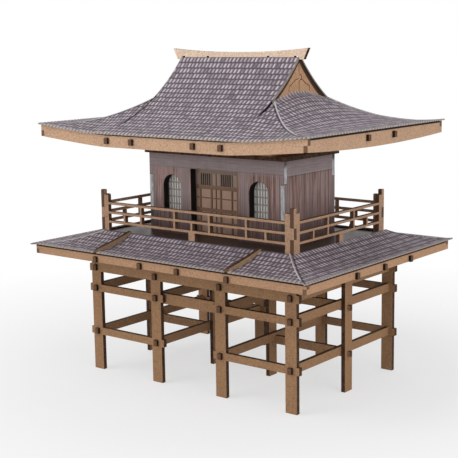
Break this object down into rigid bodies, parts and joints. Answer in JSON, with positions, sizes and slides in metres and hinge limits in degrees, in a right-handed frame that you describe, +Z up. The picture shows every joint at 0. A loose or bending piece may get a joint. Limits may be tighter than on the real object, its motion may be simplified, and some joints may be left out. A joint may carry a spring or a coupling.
{
  "type": "miniature terrain gatehouse",
  "caption": "Tabletop scenery temple gate on stilts with a railed deck, a room with doors and arched windows, a skirt roof and a curved lift-off tiled roof",
  "frame": {"origin": "on the table under the middle of the building, at the height of the feet", "axes": "+X along the ridge to the right of someone facing the doors, -Y towards the front with the doors, +Z up"},
  "size_m": [0.242, 0.1834, 0.2333],
  "materials": {
    "stilt_board": "matte cut fibreboard with darker burnt edges",
    "fascia_board": "matte cut fibreboard with darker burnt edges",
    "railing_board": "matte cut fibreboard",
    "gable_board": "matte fibreboard with burnt lines",
    "roof_frame_board": "matte fibreboard",
    "ridge_board": "matte fibreboard with dark ends",
    "wall_board": "matte printed planks",
    "door_board": "matte printed panels",
    "lattice_card": "matte white card with thin dark bars",
    "deck_print": "matte grey print",
    "lower_tile_card": "matte printed roof tiles on card",
    "upper_tile_card": "matte printed roof tiles on card"
  },
  "bodies": {
    "building": {"front_leg_frame": "stilt_board", "rear_leg_frame": "stilt_board", "top_cross_boards": "stilt_board", "middle_cross_rails": "stilt_board", "low_cross_rails": "stilt_board", "middle_posts": "stilt_board", "middle_spine_rail": "stilt_board", "low_spine_rails": "stilt_board", "gate_lintel_front": "stilt_board", "gate_lintel_rear": "stilt_board", "deck_board": "deck_print", "low_fascia_front": "fascia_board", "low_fascia_rear": "fascia_board", "low_fascia_left": "fascia_board", "low_fascia_right": "fascia_board", "crest_ribs": "stilt_board", "short_rafters": "stilt_board", "side_rafters": "stilt_board", "low_tiles_front_left": "lower_tile_card", "low_tiles_front_middle": "lower_tile_card", "low_tiles_front_right": "lower_tile_card", "low_tiles_rear_left": "lower_tile_card", "low_tiles_rear_middle": "lower_tile_card", "low_tiles_rear_right": "lower_tile_card", "low_tiles_left": "lower_tile_card", "low_tiles_right": "lower_tile_card", "railing_front": "railing_board", "railing_rear": "railing_board", "railing_left": "railing_board", "railing_right": "railing_board", "wall_front": "wall_board", "wall_rear": "wall_board", "wall_left": "wall_board", "wall_right": "wall_board", "door_left": "door_board", "door_right": "door_board", "window_lattices": "lattice_card"},
    "roof": {"roof_base_board": "roof_frame_board", "roof_locator": "roof_frame_board", "gable_left": "gable_board", "gable_right": "gable_board", "inner_truss_left": "roof_frame_board", "inner_truss_right": "roof_frame_board", "roof_rafters": "roof_frame_board", "roof_fascia_front": "fascia_board", "roof_fascia_rear": "fascia_board", "roof_fascia_left": "fascia_board", "roof_fascia_right": "fascia_board", "main_slope_front": "upper_tile_card", "main_slope_rear": "upper_tile_card", "skirt_front": "upper_tile_card", "skirt_rear": "upper_tile_card", "skirt_left": "upper_tile_card", "skirt_right": "upper_tile_card", "ridge_board": "ridge_board"}
  },
  "joints": [
    {"name": "roof_lift", "type": "slide", "parent": "building", "child": "roof", "axis": [0, 0, 1], "range_m": [0, 0.08]}
  ]
}
